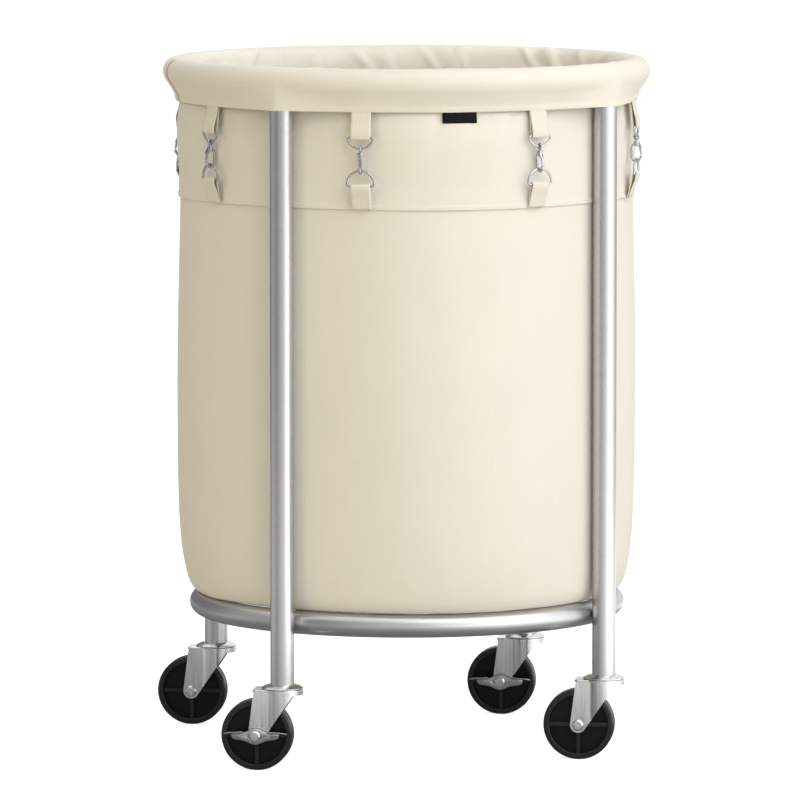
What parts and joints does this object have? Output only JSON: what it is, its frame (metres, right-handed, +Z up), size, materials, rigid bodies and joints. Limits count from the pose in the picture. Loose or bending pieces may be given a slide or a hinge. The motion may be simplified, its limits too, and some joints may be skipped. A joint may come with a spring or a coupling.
{
  "type": "rolling laundry hamper",
  "caption": "Round fabric laundry bag held in a steel tube frame on swivel casters, with the bag's cuff folded over the upper ring and clipped to a band below it.",
  "frame": {"origin": "on the floor below the centre of the upper ring", "axes": "+Z up; -Y is the front, where the label tab hangs; +X to the right seen from the front"},
  "size_m": [0.529, 0.529, 0.7499],
  "materials": {
    "frame_steel": "satin plated tube",
    "caster_steel": "bright zinc plate",
    "clip_metal": "nickel plate",
    "wheel_plastic": "moulded, satin",
    "socket_plastic": "moulded",
    "bag_cloth": "plain woven, matt",
    "webbing": "ribbed webbing",
    "label_cloth": "satin ribbon"
  },
  "bodies": {
    "frame": {"pole_rear_right": "frame_steel", "pole_rear_left": "frame_steel", "pole_front_left": "frame_steel", "pole_front_right": "frame_steel", "upper_ring_rear": "frame_steel", "upper_ring_left": "frame_steel", "upper_ring_front": "frame_steel", "upper_ring_right": "frame_steel", "lower_ring_rear": "frame_steel", "lower_ring_left": "frame_steel", "lower_ring_front": "frame_steel", "lower_ring_right": "frame_steel", "upper_ring_sleeves": "frame_steel", "lower_ring_sleeves": "frame_steel", "base_cross_bar": "frame_steel", "base_half_bars": "frame_steel", "stem_sockets": "socket_plastic", "caster_stems": "caster_steel", "caster_caps": "caster_steel", "swivel_washers": "caster_steel", "bag_side": "bag_cloth", "bag_floor": "bag_cloth", "bag_band": "bag_cloth", "bag_cuff": "bag_cloth", "upper_straps": "webbing", "lower_straps": "webbing", "label_tab": "label_cloth", "upper_d_rings": "clip_metal", "lower_d_rings": "clip_metal", "swivel_eyes": "clip_metal"},
    "caster_rear_right": {"fork_rear_right": "caster_steel", "axle_rivet_rear_right": "caster_steel"},
    "wheel_rear_right": {"wheel_rear_right": "wheel_plastic"},
    "brake_rear_right": {"brake_lever_rear_right": "caster_steel"},
    "caster_rear_left": {"fork_rear_left": "caster_steel", "axle_rivet_rear_left": "caster_steel"},
    "wheel_rear_left": {"wheel_rear_left": "wheel_plastic"},
    "caster_front_left": {"fork_front_left": "caster_steel", "axle_rivet_front_left": "caster_steel"},
    "wheel_front_left": {"wheel_front_left": "wheel_plastic"},
    "brake_front_left": {"brake_lever_front_left": "caster_steel"},
    "caster_front_right": {"fork_front_right": "caster_steel", "axle_rivet_front_right": "caster_steel"},
    "wheel_front_right": {"wheel_front_right": "wheel_plastic"},
    "hook_1": {"snap_hook_1": "clip_metal"},
    "gate_1": {"hook_gate_1": "clip_metal"},
    "hook_2": {"snap_hook_2": "clip_metal"},
    "gate_2": {"hook_gate_2": "clip_metal"},
    "hook_3": {"snap_hook_3": "clip_metal"},
    "gate_3": {"hook_gate_3": "clip_metal"},
    "hook_4": {"snap_hook_4": "clip_metal"},
    "gate_4": {"hook_gate_4": "clip_metal"},
    "hook_5": {"snap_hook_5": "clip_metal"},
    "gate_5": {"hook_gate_5": "clip_metal"},
    "hook_6": {"snap_hook_6": "clip_metal"},
    "gate_6": {"hook_gate_6": "clip_metal"},
    "hook_7": {"snap_hook_7": "clip_metal"},
    "gate_7": {"hook_gate_7": "clip_metal"},
    "hook_8": {"snap_hook_8": "clip_metal"},
    "gate_8": {"hook_gate_8": "clip_metal"}
  },
  "joints": [
    {"name": "caster_swivel_rear_right", "type": "hinge", "parent": "frame", "child": "caster_rear_right", "pos_m": [0.17678, 0.17678, 0.086], "axis": [0, 0, 1], "continuous": true},
    {"name": "wheel_spin_rear_right", "type": "hinge", "parent": "caster_rear_right", "child": "wheel_rear_right", "pos_m": [0.15178, 0.18558, 0.0381], "axis": [-0.3322, -0.9432, 0], "continuous": true},
    {"name": "brake_rock_rear_right", "type": "hinge", "parent": "caster_rear_right", "child": "brake_rear_right", "pos_m": [0.15178, 0.18558, 0.0381], "axis": [-0.3322, -0.9432, 0], "range_deg": [-15, 15]},
    {"name": "caster_swivel_rear_left", "type": "hinge", "parent": "frame", "child": "caster_rear_left", "pos_m": [-0.17678, 0.17678, 0.086], "axis": [0, 0, 1], "continuous": true},
    {"name": "wheel_spin_rear_left", "type": "hinge", "parent": "caster_rear_left", "child": "wheel_rear_left", "pos_m": [-0.20177, 0.18558, 0.0381], "axis": [-0.3322, -0.9432, 0], "continuous": true},
    {"name": "caster_swivel_front_left", "type": "hinge", "parent": "frame", "child": "caster_front_left", "pos_m": [-0.17678, -0.17678, 0.086], "axis": [0, 0, 1], "continuous": true},
    {"name": "wheel_spin_front_left", "type": "hinge", "parent": "caster_front_left", "child": "wheel_front_left", "pos_m": [-0.20177, -0.16797, 0.0381], "axis": [-0.3322, -0.9432, 0], "continuous": true},
    {"name": "brake_rock_front_left", "type": "hinge", "parent": "caster_front_left", "child": "brake_front_left", "pos_m": [-0.20177, -0.16797, 0.0381], "axis": [-0.3322, -0.9432, 0], "range_deg": [-15, 15]},
    {"name": "caster_swivel_front_right", "type": "hinge", "parent": "frame", "child": "caster_front_right", "pos_m": [0.17678, -0.17678, 0.086], "axis": [0, 0, 1], "continuous": true},
    {"name": "wheel_spin_front_right", "type": "hinge", "parent": "caster_front_right", "child": "wheel_front_right", "pos_m": [0.15178, -0.16797, 0.0381], "axis": [-0.3322, -0.9432, 0], "continuous": true},
    {"name": "hook_swivel_1", "type": "hinge", "parent": "frame", "child": "hook_1", "pos_m": [0.09008, -0.23589, 0.6586], "axis": [0, 0, 1], "range_deg": [-30, 30]},
    {"name": "gate_swing_1", "type": "hinge", "parent": "hook_1", "child": "gate_1", "pos_m": [0.09147, -0.23953, 0.6544], "axis": [0.9342, 0.3567, 0], "range_deg": [0, 30], "stiffness_Nm_per_rad": 0.02, "springref_deg": -22.92},
    {"name": "hook_swivel_2", "type": "hinge", "parent": "frame", "child": "hook_2", "pos_m": [0.23049, -0.1031, 0.6586], "axis": [0, 0, 1], "range_deg": [-30, 30]},
    {"name": "gate_swing_2", "type": "hinge", "parent": "hook_2", "child": "gate_2", "pos_m": [0.23405, -0.1047, 0.6544], "axis": [0.4083, 0.9128, 0], "range_deg": [0, 30], "stiffness_Nm_per_rad": 0.02, "springref_deg": -22.92},
    {"name": "hook_swivel_3", "type": "hinge", "parent": "frame", "child": "hook_3", "pos_m": [0.23589, 0.09008, 0.6586], "axis": [0, 0, 1], "range_deg": [-30, 30]},
    {"name": "gate_swing_3", "type": "hinge", "parent": "hook_3", "child": "gate_3", "pos_m": [0.23953, 0.09147, 0.6544], "axis": [-0.3567, 0.9342, 0], "range_deg": [0, 30], "stiffness_Nm_per_rad": 0.02, "springref_deg": -22.92},
    {"name": "hook_swivel_4", "type": "hinge", "parent": "frame", "child": "hook_4", "pos_m": [0.1031, 0.23049, 0.6586], "axis": [0, 0, 1], "range_deg": [-30, 30]},
    {"name": "gate_swing_4", "type": "hinge", "parent": "hook_4", "child": "gate_4", "pos_m": [0.1047, 0.23405, 0.6544], "axis": [-0.9128, 0.4083, 0], "range_deg": [0, 30], "stiffness_Nm_per_rad": 0.02, "springref_deg": -22.92},
    {"name": "hook_swivel_5", "type": "hinge", "parent": "frame", "child": "hook_5", "pos_m": [-0.09008, 0.23589, 0.6586], "axis": [0, 0, 1], "range_deg": [-30, 30]},
    {"name": "gate_swing_5", "type": "hinge", "parent": "hook_5", "child": "gate_5", "pos_m": [-0.09147, 0.23953, 0.6544], "axis": [-0.9342, -0.3567, 0], "range_deg": [0, 30], "stiffness_Nm_per_rad": 0.02, "springref_deg": -22.92},
    {"name": "hook_swivel_6", "type": "hinge", "parent": "frame", "child": "hook_6", "pos_m": [-0.23049, 0.1031, 0.6586], "axis": [0, 0, 1], "range_deg": [-30, 30]},
    {"name": "gate_swing_6", "type": "hinge", "parent": "hook_6", "child": "gate_6", "pos_m": [-0.23405, 0.1047, 0.6544], "axis": [-0.4083, -0.9128, 0], "range_deg": [0, 30], "stiffness_Nm_per_rad": 0.02, "springref_deg": -22.92},
    {"name": "hook_swivel_7", "type": "hinge", "parent": "frame", "child": "hook_7", "pos_m": [-0.23589, -0.09008, 0.6586], "axis": [0, 0, 1], "range_deg": [-30, 30]},
    {"name": "gate_swing_7", "type": "hinge", "parent": "hook_7", "child": "gate_7", "pos_m": [-0.23953, -0.09147, 0.6544], "axis": [0.3567, -0.9342, 0], "range_deg": [0, 30], "stiffness_Nm_per_rad": 0.02, "springref_deg": -22.92},
    {"name": "hook_swivel_8", "type": "hinge", "parent": "frame", "child": "hook_8", "pos_m": [-0.1031, -0.23049, 0.6586], "axis": [0, 0, 1], "range_deg": [-30, 30]},
    {"name": "gate_swing_8", "type": "hinge", "parent": "hook_8", "child": "gate_8", "pos_m": [-0.1047, -0.23405, 0.6544], "axis": [0.9128, -0.4083, 0], "range_deg": [0, 30], "stiffness_Nm_per_rad": 0.02, "springref_deg": -22.92}
  ]
}
